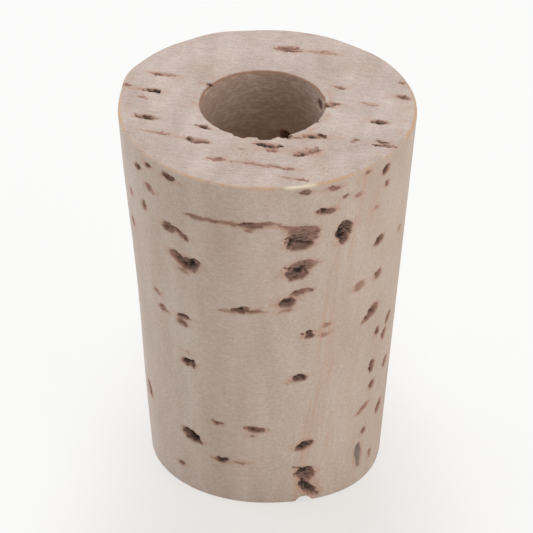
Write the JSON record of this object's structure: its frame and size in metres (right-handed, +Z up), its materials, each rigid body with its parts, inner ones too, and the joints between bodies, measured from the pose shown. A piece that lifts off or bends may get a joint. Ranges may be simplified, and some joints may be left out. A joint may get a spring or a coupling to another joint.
{
  "type": "cork stopper",
  "caption": "Tapered natural cork stopper with a hole bored through it lengthways for a tube, worn rims and open lenticel pits.",
  "frame": {"origin": "centre of the narrow end's face, on the surface that the stopper stands on", "axes": "+Z up along the stopper's axis, towards its wide end; -Y is the side in the picture"},
  "size_m": [0.024, 0.024, 0.032],
  "materials": {
    "natural_cork": "matte cut cork, fine grain with dark brown open lenticels"
  },
  "bodies": {
    "root": {"cork_stopper": "natural_cork"}
  },
  "joints": []
}
